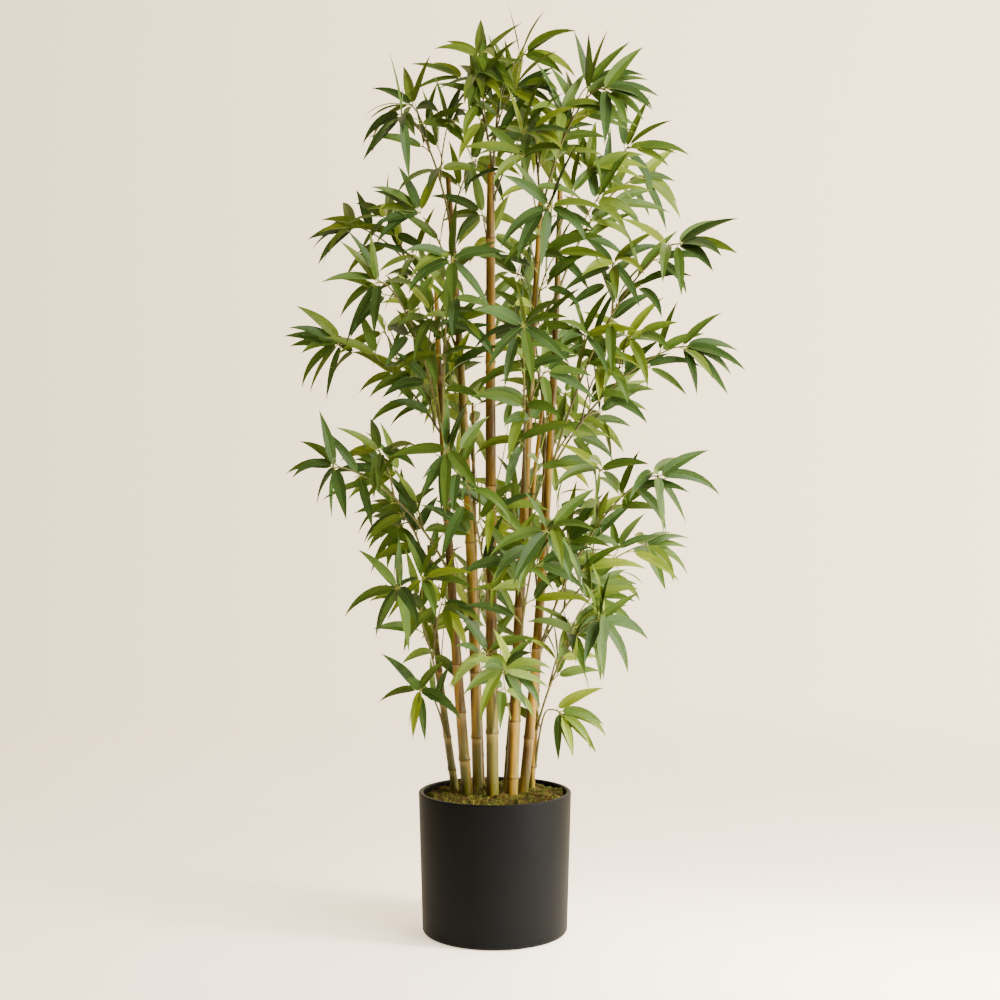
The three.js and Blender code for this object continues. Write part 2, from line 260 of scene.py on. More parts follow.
# %% Charcoal finish
CHARCOAL = (0.0027, 0.0029, 0.0031)
WORN_CHARCOAL = (0.0046, 0.0049, 0.0052)
COOL_GLOSS = (0.85, 0.93, 1.0, 1.0)


def charcoal_finish():
    """Powdery charcoal with a soft sheen, and a faint unevenness from the mould."""
    material, shader, place = new_material(
        "charcoal", Specular_IOR_Level=0.06, Specular_Tint=COOL_GLOSS
    )
    cloud = patch(place, 9.0, 4.0)
    grain = patch(place, 900.0, 2.0)
    feed(
        shader,
        Base_Color=blend_colours(cloud, CHARCOAL, WORN_CHARCOAL),
        Roughness=0.46 + cloud * 0.08 + grain * 0.06,
        Normal=bump(grain, 0.12, 0.0004),
    )
    return material


add_piece("pot_shell", pot_mesh, charcoal_finish(), ["pot"])

# %% [markdown]
# ## Reading the canes off the frame
# Each CAD cane is a stack of rings, and the rings at its joints are a little wider. So the cane's
# axis, its taper and the heights of its joints can all be read from the CAD node, and nothing has
# to be typed in twice.

# %% Axis, radius and joints of every cane
RING_SPACING = 1.6 * MM  # corners that are nearer in height than this share a ring
JOINT_SWELL = 1.06  # a joint's ring is wider than its neighbours by more than this


class Cane:
    """A CAD culm as its axis, radius and joints."""

    def __init__(self, node):
        corners = np.array([v.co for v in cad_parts[node].data.vertices])
        corners = np.unique(corners.round(6), axis=0)
        corners = corners[np.argsort(corners[:, 2])]
        breaks = np.flatnonzero(np.diff(corners[:, 2]) > RING_SPACING) + 1
        rings = np.split(corners, breaks)
        centres = np.array([ring.mean(0) for ring in rings])
        radii = np.array([np.linalg.norm(r - c, axis=1).mean() for r, c in zip(rings, centres)])
        inner = np.arange(1, len(rings) - 1)
        beside = np.maximum(radii[inner - 1], radii[inner + 1])
        swollen = inner[radii[inner] > JOINT_SWELL * beside]
        plain = np.setdiff1d(np.arange(len(rings)), swollen)
        self.node, self.joints = node, centres[swollen, 2]
        self.heights, self.centres = centres[:, 2], centres
        self.plain_heights, self.plain_radii = centres[plain, 2], radii[plain]
        self.low, self.top = centres[0, 2], centres[-1, 2]

    def axis(self, height):
        """The point of the axis at a height."""
        return Vector([*(np.interp(height, self.heights, self.centres[:, k]) for k in (0, 1)), height])

    def radius(self, height):
        """The cane's radius at a height, without the rings at its joints."""
        return float(np.interp(height, self.plain_heights, self.plain_radii))


canes = [Cane(name) for name in sorted(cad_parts) if name.startswith("culm_")]
for cane in canes:
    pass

# %% [markdown]
# ## The canes
# A bamboo cane is nearly round, with a ridge, a groove and a pale band at every joint, and it is cut
# off square. A curve with a bevel would give a smooth pole, but not the sharp step at a joint. So the
# profile is spun about Z, then each height is slid sideways to the cane's own axis, which leans and
# bows so little that its rings can stay level. The cut end is hollow for a short way.

# %% Shape of a joint and of a cut end
JOINT_PROFILE = [
    (-9.0, 1.0), (-4.5, 1.02), (-2.4, 1.07), (-1.1, 1.15), (-0.3, 1.16),
    (0.2, 1.06), (0.8, 1.055), (1.5, 1.13), (2.8, 1.11), (5.5, 1.04), (10.0, 1.0),
]  # (mm above the joint, radius over the plain cane)
JOINT_REACH = 14 * MM
PLAIN_STEP = 16 * MM
CANE_SIDES = 20
CUT_EDGE = 0.6 * MM
CUT_RIM = 0.94  # the flat of the cut, from here in to the hollow, over the cane's radius
HOLLOW = 0.58
HOLLOW_DEPTH = 9 * MM
OUT_OF_ROUND = 0.035


def cane_profile(cane):
    """(radius, height) points of a cane from its foot to the floor of its hollow end."""
    points = [
        (cane.radius(height), height)
        for height in np.arange(cane.low, cane.top - 6 * MM, PLAIN_STEP)
        if all(abs(height - joint) >= JOINT_REACH for joint in cane.joints)
    ]
    for joint in cane.joints:
        for rise, factor in JOINT_PROFILE:
            points.append((cane.radius(joint) * factor, joint + rise * MM))
    points.sort(key=lambda point: point[1])
    points = [p for p in points if p[1] < cane.top - 1 * MM]
    rim = cane.radius(cane.top)
    cut = [(rim, cane.top - CUT_EDGE), (CUT_RIM * rim, cane.top), (HOLLOW * rim, cane.top)]
    floor = cane.top - HOLLOW_DEPTH
    return [(0, cane.low), *points, *cut, (HOLLOW * rim, floor), (0, floor)]


# %% A cane's mesh and what it stores for its finish
RING_WIDTH = 1.0 * MM
BAND_WIDTH = 5 * MM
BAND_BELOW = 6 * MM  # how far the pale band lies under the joint


def hollow_mask(mesh, cane):
    """1 at the corners inside the cane's cut end, 0 elsewhere."""
    between = 0.8 * cane.radius(cane.top)
    at_end = [v.co.z > cane.top - 1.2 * HOLLOW_DEPTH for v in mesh.vertices]
    within = [(v.co - cane.axis(v.co.z)).length < between for v in mesh.vertices]
    return np.logical_and(at_end, within).astype(float)


def cane_mesh(cane, seed):
    """A cane's mesh, with its joints' rings and bands and its hollow end as attributes."""
    shape = turned(cane_profile(cane), CANE_SIDES)
    for corner in shape.verts:
        x, y, z = corner.co
        swell = 1 + OUT_OF_ROUND * noise.noise(Vector((x * 60, y * 60, z * 9 + 31 * seed)))
        centre = cane.axis(z)
        corner.co.x = centre.x + x * swell
        corner.co.y = centre.y + y * swell
    mesh = mesh_from(cane.node, shape)
    heights = np.array([v.co.z for v in mesh.vertices])
    rise = heights[:, None] - cane.joints[None, :]
    stored = {
        "ring": np.exp(-((rise / RING_WIDTH) ** 2)).max(1),
        "band": np.exp(-(((rise + BAND_BELOW) / BAND_WIDTH) ** 2)).max(1),
        "inside": hollow_mask(mesh, cane),
    }
    for name, values in stored.items():
        mesh.attributes.new(name, "FLOAT", "POINT").data.foreach_set("value", values)
    return mesh


# %% [markdown]
# ## The cane's colour
# Dried bamboo is golden tan with fine lengthwise streaks, browner on some internodes, and greener
# towards the foot. An image of wood could be unwrapped onto each cane, but a noise that is stretched
# along Z gives the streaks on all of them, with no two alike. The dark groove and the pale band at
# each joint follow the attributes that were just stored on the mesh.

# %% Bamboo finish
STREAK_BROWN = (0.024, 0.0115, 0.0003)
STREAK_TAN = (0.105, 0.057, 0.0016)
GOLDEN_TAN = (0.35, 0.205, 0.009)
YOUNG_GREEN = (0.05, 0.068, 0.002)
FLECK_BROWN = (0.09, 0.045, 0.008)
BAND_STRAW = (0.36, 0.25, 0.07)
GROOVE_BROWN = (0.04, 0.02, 0.006)
HOLLOW_BROWN = (0.05, 0.03, 0.015)


def bamboo_finish():
    """Streaked tan with darker flecks, green near the foot, and marked at every joint."""
    material, shader, place = new_material(
        "bamboo_cane", Specular_IOR_Level=0.32, Coat_Weight=0.1, Coat_Roughness=0.2
    )
    ring, band, inside = (
        place.out("ShaderNodeAttribute", 2, {"attribute_name": name})
        for name in ("ring", "band", "inside")
    )
    streak = patch(place, 260.0, 4.0, (1.0, 1.0, 0.018), 0.6)
    broad = patch(place, 42.0, 2.0, (1.0, 1.0, 0.09))
    height = place.out("ShaderNodeSeparateXYZ", 2, None, _0=place)
    young = 0.13 - (height * 0.15).clamped()
    green = contrast(patch(place, 34.0, 2.0, (1.0, 1.0, 0.12)) + young, 0.5, 0.66) * 0.75
    fleck = contrast(patch(place, 420.0, 3.0, (1.0, 1.0, 0.35)), 0.6, 0.74)
    streaked = blend_colours(contrast(streak, 0.3, 0.7), STREAK_BROWN, STREAK_TAN)
    golden = blend_colours(contrast(broad, 0.45, 0.68), streaked, GOLDEN_TAN)
    tinted = blend_colours(green, golden, YOUNG_GREEN)
    speckled = blend_colours(fleck * 0.5, tinted, FLECK_BROWN)
    banded = blend_colours(band * 0.35, speckled, BAND_STRAW)
    ringed = blend_colours(ring * 0.85, banded, GROOVE_BROWN)
    feed(
        shader,
        Base_Color=blend_colours(inside, ringed, HOLLOW_BROWN),
        Roughness=(0.33 + streak * 0.2 + ring * 0.25 + inside * 0.3).clamped(),
        Normal=bump(streak + fleck * 0.3, 0.25, 0.0006),
    )
    return material


bamboo = bamboo_finish()
for seed, cane in enumerate(canes):
    add_piece(cane.node.replace("culm", "cane"), cane_mesh(cane, seed), bamboo, [cane.node])
print("canes:", len(canes))

# %% [markdown]
# ## Growing the sprays: how a leaf hangs
# A leaf leaves its twig in one direction and bends down under its own weight, and the more level it
# starts, the more it bends. A single leaf could be copied and turned, but then all would bend alike.
# So each has its own middle line, an arc in the upright plane through its direction, and its blade is
# then rolled about that line, so that most blades show their broad side outwards.

# %% One leaf's middle line and blade
LEAF_LENGTH = 118 * MM
LEAF_WIDTH = 23 * MM
STATIONS = np.array([0.0, 0.05, 0.13, 0.23, 0.35, 0.48, 0.62, 0.76, 0.89, 1.0])
ACROSS = np.array([-1.0, -0.5, 0.0, 0.5, 1.0])
BLADE_WIDTH = STATIONS**0.52 * (1 - STATIONS) ** 1.15
BLADE_WIDTH = BLADE_WIDTH / BLADE_WIDTH.max()
STEEPEST = math.radians(-84)
ROLL_LIMIT = 1.3
ROLL_SHARE = 0.92  # how much of the roll towards its facing a blade makes
UP = np.array([0.0, 0.0, 1.0])


def unit(vector):
    """A vector of length one in the same direction."""
    return vector / max(np.linalg.norm(vector), 1e-9)


def leaf_lines(base, direction, facing, length, droop, stray):
    """The points of a leaf's middle line, the way across it, and the way its face looks."""
    heading = unit(direction * (1, 1, 0) + 1e-6)
    climb = math.asin(np.clip(direction[2], -1, 1))
    slopes = np.maximum(climb - droop * STATIONS**1.1, STEEPEST)
    forward = np.cos(slopes)[:, None] * heading + np.sin(slopes)[:, None] * UP
    steps = np.diff(STATIONS)[:, None] * (forward[:-1] + forward[1:]) / 2
    points = base + length * np.vstack([np.zeros(3), np.cumsum(steps, axis=0)])
    level = np.cross(heading, UP)
    upper = np.cross(level, forward)
    roll = math.atan2(float(facing @ level), float(facing @ upper.mean(0)))
    roll = np.clip(roll, -ROLL_LIMIT, ROLL_LIMIT) * ROLL_SHARE + stray
    side = math.cos(roll) * level - math.sin(roll) * upper
    face = math.sin(roll) * level + math.cos(roll) * upper
    return points, side, face


# %% [markdown]
# ## Where leaves and twigs may be
# On the real plant the wires are bent so that the leaves hang clear of the canes. Cutting meshes
# apart afterwards would leave half leaves, so leaves and twigs are tested before they are added. The
# middle line of each has to keep near the box that the CAD model gives the whole plant, and clear of
# every cane. The edges of the blades aren't tested, and a few of them cut slightly into a cane.

# %% Room for a leaf
CANE_GAP = 2 * MM
ABOVE_CANE = 3 * MM
BOX_SLACK = 2 * MM
whole_low = np.array(cad_box[0]) - BOX_SLACK
whole_high = np.array(cad_box[1]) + BOX_SLACK


def from_axis(cane, points):
    """How far points are from a cane's axis, each at its own height."""
    centres = [np.interp(points[:, 2], cane.heights, cane.centres[:, k]) for k in (0, 1)]
    return np.hypot(points[:, 0] - centres[0], points[:, 1] - centres[1])


def has_room(points):
    """Whether points keep within the whole plant's box and clear of every cane."""
    if (points < whole_low).any() or (points > whole_high).any():
        return False
    for cane in canes:
        height = points[:, 2]
        gap = from_axis(cane, points) - np.interp(height, cane.plain_heights, cane.plain_radii)
        if ((gap < CANE_GAP) & (height < cane.top + ABOVE_CANE)).any():
            return False
    return True


print("room for leaves, m:", whole_low.round(3), "to", whole_high.round(3))

# %% [markdown]
# ## The branching rule
# A bough rises steeply from a joint of its cane and bends over. Along its leafy part it gives off
# short twiglets to the left and right by turns, each with two or three leaves, and it ends in a fan
# that points outwards. A fan that faces straight out of the plant opens into a star. Leaves strewn
# over each mass would fill it as well, but they would hang on nothing. Every choice is drawn from
# one seeded generator, so the plant is the same each time.

# %% Lists that the rule fills, and one leaf
rng = np.random.default_rng(22)
LEAF_KINDS = ["deep", "middle", "light", "fresh"]
KIND_SPREAD = 0.25
LEAF_TRIES = 6
AIM_SPREAD = 0.07  # more with every try
NEXT_TRY = 0.93  # and each try is shorter by this
LENGTH_RANGE = (0.82, 1.1)
WIDTH_RANGE = (0.88, 1.12)
LEAST_DROOP = (2, 9)  # degrees, of any leaf
LEVEL_DROOP = (20, 64)  # degrees more, of a leaf that starts level
STALK_LENGTH = (4, 8)  # mm
STALK_RADII = np.array([0.9, 0.75, 0.5]) * MM
STRAY_ROLL = 0.22
FOLD_RANGE = (0.14, 0.34)  # how far the blade's halves are folded up
RIB_LIFT = 0.15 * MM
boughs, twigs, stalks, ribs = [], [], [], []
blades = {kind: [] for kind in LEAF_KINDS}


def pick_kind(tone_and_backlight):
    """A leaf colour: the higher its tone, painted backlight included, the lighter."""
    value = tone_and_backlight + rng.normal(0, KIND_SPREAD)
    return LEAF_KINDS[int(np.clip(value * 4, 0, 3))]


def taper(count, thick, thin, collar=0.0):
    """Radii along a tube, in metres, from a thick and a thin end and a foot collar in mm."""
    radii = np.linspace(thick, thin, count)
    radii[0] += collar
    return radii * MM


def add_leaf(base, direction, facing, size, tone_and_backlight):
    """Grows one leaf if there is room for it, with its stalk and rib."""
    for attempt in range(LEAF_TRIES):
        aim = unit(direction + rng.normal(0, AIM_SPREAD * (1 + attempt), 3))
        length = LEAF_LENGTH * size * rng.uniform(*LENGTH_RANGE) * NEXT_TRY**attempt
        width = LEAF_WIDTH * size * rng.uniform(*WIDTH_RANGE)
        level = math.sqrt(max(0.0, 1 - aim[2] ** 2))
        droop = math.radians(rng.uniform(*LEVEL_DROOP) * level**1.6 + rng.uniform(*LEAST_DROOP))
        stalk = base + aim * rng.uniform(*STALK_LENGTH) * MM
        stray = rng.normal(0, STRAY_ROLL)
        points, side, face = leaf_lines(stalk, aim, facing, length, droop, stray)
        if has_room(points):
            break
    else:
        return
    fold = rng.uniform(*FOLD_RANGE)
    blades[pick_kind(tone_and_backlight)].append((points, side, face, width / 2, fold))
    stalks.append((np.vstack([base, points[:2]]), STALK_RADII * size))
    ribs.append((points[1:-1] + RIB_LIFT * face[1:-1], taper(len(points) - 2, 0.38, 0.16)))


# %% A fan or star of leaves at the end of a twig
STAR_FROM = 0.72  # a fan is a star if its axis points this far along its facing
STAR_TURN = 0.3
STAR_OPENING = (48, 96)  # degrees
STAR_SIZE = 0.92
FAN_TILT = 7  # degrees
FAN_DEPTH = 0.17
FAN_STAGGER = (4, 12)  # mm that a fan's outer leaves start behind its tip
OUTER_SHORTER = 0.1


def fan(tip, axis, facing, count, spread, size, tone_and_backlight):
    """Leaves about the end of a twig, opened in the plane that the spray faces."""
    across = unit(np.cross(axis, facing) + 1e-6)
    depth = unit(np.cross(across, axis))
    star = abs(float(axis @ facing)) > STAR_FROM
    turn = rng.uniform(0, math.tau)
    for i in range(count):
        place = (i / (count - 1) * 2 - 1) if count > 1 else 0.0
        if star:
            about = turn + math.tau * i / count + rng.normal(0, STAR_TURN)
            opening = math.radians(rng.uniform(*STAR_OPENING))
            radial = math.cos(about) * across + math.sin(about) * depth
        else:
            opening = math.radians(place * spread + rng.normal(0, FAN_TILT))
            radial = across
        direction = math.cos(opening) * axis + math.sin(opening) * radial
        direction = unit(direction + rng.normal(0, FAN_DEPTH) * depth * (not star))
        base = tip - axis * abs(place) ** 0.7 * rng.uniform(*FAN_STAGGER) * MM
        share = STAR_SIZE if star else 1.0 - OUTER_SHORTER * abs(place)
        add_leaf(base, direction, facing, size * share, tone_and_backlight)


def curve_points(start, shoulder, end, count):
    """Points along a quadratic curve."""
    t = np.linspace(0, 1, count)[:, None]
    return (1 - t) ** 2 * start + 2 * t * (1 - t) * shoulder + t**2 * end


def rising_curve(root, heading, reach, shoulder, end, count):
    """A shoot's curve. Its shoulder and end are (out, up) shares of its reach."""
    middle, tip = (root + reach * (out * heading + up * UP) for out, up in (shoulder, end))
    return curve_points(root, middle, tip, count)


print("a fan is a star within", round(math.degrees(math.acos(STAR_FROM))), "degrees of its facing")

# %% A leafy shoot
NODE_SPACING = 34 * MM
LEAFY_TO, LAST_NODE = 0.95, 0.94
TWIG_ROLL = 0.45
TWIG_LEAN = (32, 50)  # degrees from the shoot
TWIG_OUT = 0.22
TWIG_REACH = (10, 34)  # mm
TWIG_SPREAD = 25  # degrees
TWIG_SIZE = 0.96
THIRD_LEAF = 0.3  # the share of twiglets that carry three leaves and not two
END_HEIGHTS, END_RISE = (0.6, 1.55), (-0.25, 0.12)  # low ends point down, high ones up
END_OUT = 0.5
END_SPREAD = 60  # degrees
END_SIZE = 1.04
END_DEEPER = 0.05


def grow_shoot(path, leafy_from, facing, outward, size, end_count, tone_and_backlight):
    """Grows leafy twiglets on both sides of a path by turns, and ends it in a fan."""
    steps = np.linalg.norm(np.diff(path, axis=0), axis=1)
    along_path = np.concatenate([[0], np.cumsum(steps)])
    whole = along_path[-1]
    nodes = max(2, int(whole * (LEAFY_TO - leafy_from) / (NODE_SPACING * size)))
    turn = int(rng.integers(2))
    for i, share in enumerate(np.linspace(leafy_from, LAST_NODE, nodes)):
        k = min(int(np.searchsorted(along_path, share * whole)), len(path) - 1)
        root, along = path[k], unit(path[k] - path[k - 1])
        across = unit(np.cross(along, facing) + 1e-6) * (1 if (i + turn) % 2 else -1)
        depth = unit(np.cross(across, along))
        roll = rng.normal(0, TWIG_ROLL)
        sideways = math.cos(roll) * across + math.sin(roll) * depth
        lean = math.radians(rng.uniform(*TWIG_LEAN))
        aim = unit(math.cos(lean) * along + math.sin(lean) * sideways + TWIG_OUT * outward)
        reach = rng.uniform(*TWIG_REACH) * MM * size
        tip = root + aim * reach
        stem = curve_points(root, root + (0.7 * aim + 0.3 * along) * reach * 0.5, tip, 5)
        if not has_room(stem[2:]):
            continue
        twigs.append((stem, taper(len(stem), 1.7, 0.85)))
        count = 3 if rng.random() < THIRD_LEAF else 2
        fan(tip, aim, facing, count, TWIG_SPREAD, size * TWIG_SIZE, tone_and_backlight)
    rise = np.interp(path[-1][2], END_HEIGHTS, END_RISE)
    forward = unit(unit(path[-1] - path[-3]) + END_OUT * outward + rise * UP)
    fan(path[-1], forward, facing, end_count, END_SPREAD, size * END_SIZE, tone_and_backlight - END_DEEPER)


print("a twiglet every", round(NODE_SPACING / MM), "mm")

# %% A bough with its side shoots
BARE_BELOW = 0.6  # metres: the boughs under it carry fewer and smaller leaves
SHOOT_HEIGHTS = (0.48, 0.6)  # metres: no side shoot under the first, one at most under the second
LOW_SIZE = 0.88
LOW_BARE = 0.2
SIDE_SHOOTS = (0.24, 0.48)  # where they leave, as shares of the bough
SHOOT_AWAY = (20, 60)  # degrees from the bough's own heading
SHOOT_REACH = (85, 135)  # mm
SHOOT_SHOULDER, SHOOT_END = (0.1, 0.6), (0.42, 0.9)
SHOOT_LEAFY = 0.35
SHOOT_SIZE = 0.9
SHOOT_FRESHER = 0.12
SHOULDER_ALONG, SHOULDER_UP = 0.42, 0.78  # a bough rises early and then leans out
TIP_OUT = 33 * MM
JOINT_NEAR = 130 * MM  # a bough starts at a joint if one is as near as this
BOUGH_COLLAR = 1.6  # mm
END_LEAVES = 6
SHOOT_LEAVES = 5


def cane_axis_point(cane, height):
    """A point of a cane's axis, at its top if the height is above that."""
    return np.array(cane.axis(min(height, cane.top)))


def add_bough(points, thick, thin):
    """Adds a wooden limb that tapers from a small collar at its foot."""
    boughs.append((points, taper(len(points), thick, thin, BOUGH_COLLAR)))


def grow_spray(cane, start, heart, leafy_from, facing, tone_and_backlight, shoots):
    """A bough from a joint of its cane through the heart of its mass, with its side shoots."""
    low = heart[2] < BARE_BELOW
    outward = unit((heart - start) * (1, 1, 0))
    joint = min(cane.joints, key=lambda height: abs(height - start[2]))
    foot = joint if abs(joint - start[2]) < JOINT_NEAR else start[2]
    start = cane_axis_point(cane, foot) + outward * 0.9 * cane.radius(foot)
    span = heart - start
    shoulder = start + SHOULDER_ALONG * span
    shoulder[2] = start[2] + SHOULDER_UP * span[2]
    path = curve_points(start, shoulder, heart, 40)
    forward = unit(path[-1] - path[-2])
    tip = heart + TIP_OUT * outward + 3 * MM * UP
    beyond = curve_points(heart, heart + 0.45 * TIP_OUT * forward, tip, 9)
    path = np.vstack([path, beyond[1:]])
    add_bough(path[::2], 2.6, 1.5)
    size = LOW_SIZE if low else 1.0
    grow_shoot(path, leafy_from + LOW_BARE * low, facing, outward, size, END_LEAVES, tone_and_backlight)
    shoots = min(shoots, int(np.searchsorted(SHOOT_HEIGHTS, heart[2])))
    for share in SIDE_SHOOTS[:shoots]:
        root = path[int(share * len(path))]
        away = math.radians(rng.choice([-1, 1]) * rng.uniform(*SHOOT_AWAY))
        heading = np.array([
            outward[0] * math.cos(away) - outward[1] * math.sin(away),
            outward[0] * math.sin(away) + outward[1] * math.cos(away),
            0.0,
        ])
        reach = rng.uniform(*SHOOT_REACH) * MM
        shoot = rising_curve(root, heading, reach, SHOOT_SHOULDER, SHOOT_END, 16)
        if has_room(shoot[4:]):
            add_bough(shoot[::3], 1.9, 1.3)
            green = tone_and_backlight + SHOOT_FRESHER
            grow_shoot(shoot, SHOOT_LEAFY, facing, heading, SHOOT_SIZE, SHOOT_LEAVES, green)


# %% [markdown]
# ## Reading each spray off the frame
# A bough's CAD node gives its foot on the cane and the point where it enters its mass. The line from
# there through the middle of the mass's box runs on to the heart of the last fan, which lies one
# leaf's reach inside the mass's far end. A mass with no bough of its own reaches in to a cane, so its
# bough starts on that one.

# %% Grow every mass
LEAF_REACH = 124 * MM
END_SLICE = 4 * MM
FACING_SPREAD = 0.2
REAR_FROM = 0.6  # how far back a spray has to point before it faces the rear
# The last of these paints the sprays at the back of the crown lighter: painted backlight, not a green
# of their own.
FRESH_MIDDLE, FRESH_EDGE, PAINTED_BACKLIGHT = 0.49, 0.3, 0.5
OWN_BARE, TAIL_BARE = 0.32, 0.22  # the bare share of a bough that is a node, and of one that isn't
TAIL_CLIMB, TAIL_MORE, TAIL_LEAST = 1.15, 60 * MM, 150 * MM  # per metre out, more, and at least
BELOW_TOP = 14 * MM


def corners_of(name):
    """The corners of a CAD node, one row each."""
    return np.array([v.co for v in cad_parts[name].data.vertices])


def ends_of(name):
    """The lowest and the highest point of a bough's node."""
    corners = corners_of(name)
    low, high = corners[:, 2].min(), corners[:, 2].max()
    return (
        corners[corners[:, 2] < low + END_SLICE].mean(0),
        corners[corners[:, 2] > high - END_SLICE].mean(0),
    )


def cane_gap(cane, points):
    """How far points are from a cane's axis, or infinity above its top."""
    return np.where(points[:, 2] < cane.top, from_axis(cane, points), np.inf)


def tail_of(name):
    """A mass's corner that is nearest to a cane, and that cane."""
    corners = corners_of(name)
    cane = min(canes, key=lambda one: cane_gap(one, corners).min())
    return corners[cane_gap(cane, corners).argmin()], cane


def spray_facing(middle):
    """The way that a spray's leaves face: to the plant's front or back, and somewhat outwards."""
    outward = unit(middle * (1, 1, 0))
    front = np.array([0.0, 1.0 if outward[1] > REAR_FROM else -1.0, 0.0])
    return unit(0.25 * outward + front + 0.3 * UP + rng.normal(0, FACING_SPREAD, 3))


def foot_below(cane, heart):
    """Where a bough without a node of its own leaves its cane, well below its last fan."""
    across = np.hypot(*(heart - cane_axis_point(cane, heart[2]))[:2])
    foot = heart[2] - max(TAIL_CLIMB * across + TAIL_MORE, TAIL_LEAST)
    return cane_axis_point(cane, min(foot, cane.top - BELOW_TOP))


mass_names = sorted(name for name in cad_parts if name.startswith("leaves_"))
for name in mass_names:
    low, high = (np.array(corner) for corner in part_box(name))
    middle = (low + high) / 2
    bough_name = name.replace("leaves", "bough")
    own_bough = bough_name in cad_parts
    if own_bough:
        start, entry = ends_of(bough_name)
        cane = min(canes, key=lambda one: cane_gap(one, start[None])[0])
    else:
        entry, cane = tail_of(name)
    axis = unit(middle - entry)
    heart = entry + axis * (((corners_of(name) - entry) @ axis).max() - LEAF_REACH)
    if not own_bough:
        start = foot_below(cane, heart)
    from_middle = np.hypot(*middle[:2])
    # A spray's tone: lighter in the middle of the crown, which is the leaves' own green, and lighter
    # at the back, which is painted backlight.
    tone_and_backlight = FRESH_MIDDLE - FRESH_EDGE * from_middle / whole_high[0] + PAINTED_BACKLIGHT * middle[1]
    bare, shoots = (OWN_BARE, 2) if own_bough else (TAIL_BARE, 1)
    grow_spray(cane, start, heart, bare, spray_facing(middle), tone_and_backlight, shoots)
print("masses grown:", len(mass_names))

# %% [markdown]
# ## Shoots at the cane tops
# Short shoots also leave every tall cane a little below its cut end, and the left canes have a second
# one lower down, so that the crown is full round the poles. The CAD model has no masses for them.
# Each is turned on from the last by the golden angle, which spreads any number of them evenly.

# %% Grow short shoots near each tall cane's top
TALL = 1.4
TOP_SHOOTS = (90, 210)  # mm below the cane's top
TOP_REACH = (130, 180)  # mm
TOP_SHOULDER, TOP_END = (0.16, 0.5), (0.45, 0.85)
TOP_LEAFY = 0.45
TOP_SIZE = 0.95
EVEN_GREEN = 0.5
GOLDEN_ANGLE = math.radians(137.5)


def level_way(angle):
    """The level direction at an angle about Z."""
    return np.array([math.cos(angle), math.sin(angle), 0.0])


for cane in canes:
    if cane.top < TALL:
        continue
    turn = GOLDEN_ANGLE * canes.index(cane)
    on_the_left = cane.axis(cane.top).x < 0
    for below in TOP_SHOOTS if on_the_left else TOP_SHOOTS[:1]:
        turn += GOLDEN_ANGLE
        root = cane_axis_point(cane, cane.top - below * MM)
        heading = level_way(turn)
        reach = rng.uniform(*TOP_REACH) * MM
        shoot = rising_curve(root, heading, reach, TOP_SHOULDER, TOP_END, 18)
        add_bough(shoot[::3], 2.1, 1.3)
        facing = spray_facing(heading)
        grow_shoot(shoot, TOP_LEAFY, facing, heading, TOP_SIZE, SHOOT_LEAVES, EVEN_GREEN)
print("boughs and shoots:", len(boughs))

# %% [markdown]
# ## Wires beside the canes
# Low on the plant, thin wires leave some of the joints and rise close beside their cane. Each ends in
# a pair of small leaves. The bough's rule would make a whole spray, so a short loop over the joints
# grows them instead.

# %% Grow the wires
WIRES_FROM, WIRES_TO = 0.4, 1.1  # metres
WIRE_SHARE = 0.5
WIRE_REACH = (100, 190)  # mm
WIRE_SHOULDER, WIRE_OUT, WIRE_UP = (0.14, 0.4), (0.16, 0.34), 0.95
WIRE_LEAVES, WIRE_SPREAD, WIRE_LEAF_SIZE = 2, 38, 0.8
for cane in canes:
    for joint in cane.joints:
        if not WIRES_FROM < joint < min(WIRES_TO, cane.top) or rng.random() > WIRE_SHARE:
            continue
        heading = level_way(rng.uniform(0, math.tau))
        root = cane_axis_point(cane, joint) + 0.9 * cane.radius(joint) * heading
        reach = rng.uniform(*WIRE_REACH) * MM
        end = (rng.uniform(*WIRE_OUT), WIRE_UP)
        wire = rising_curve(root, heading, reach, WIRE_SHOULDER, end, 12)
        if has_room(wire[4:]):
            twigs.append((wire, taper(len(wire), 1.5, 0.85)))
            along, facing = unit(wire[-1] - wire[-3] + 0.02 * heading), spray_facing(heading)
            fan(wire[-1], along, facing, WIRE_LEAVES, WIRE_SPREAD, WIRE_LEAF_SIZE, EVEN_GREEN)
leaf_count = sum(len(kind) for kind in blades.values())
print("sprays:", len(mass_names), "twigs:", len(twigs), "leaves:", leaf_count)

# %% [markdown]
# ## From lists to meshes
# Hundreds of leaves are one blade, bent and placed again and again. A thousand objects would be slow
# to handle, so a grid gives the blade's faces once, and the leaves of each colour are joined into one
# mesh. The stalks, ribs and twigs are curves with a bevel, which Blender turns into tubes.

# %% Join the leaves of a colour
MIDDLE = len(ACROSS) // 2  # the row of corners under the rib


def blade_grid():
    """The faces of one blade, as rows of corners, from a grid."""
    grid = bmesh.new()
    bmesh.ops.create_grid(grid, x_segments=len(STATIONS) - 1, y_segments=len(ACROSS) - 1, size=1)
    order = sorted(grid.verts, key=lambda v: (round(v.co.x, 4), round(v.co.y, 4)))
    index = {corner: i for i, corner in enumerate(order)}
    faces = np.array([[index[corner] for corner in face.verts] for face in grid.faces])
    grid.free()
    return faces


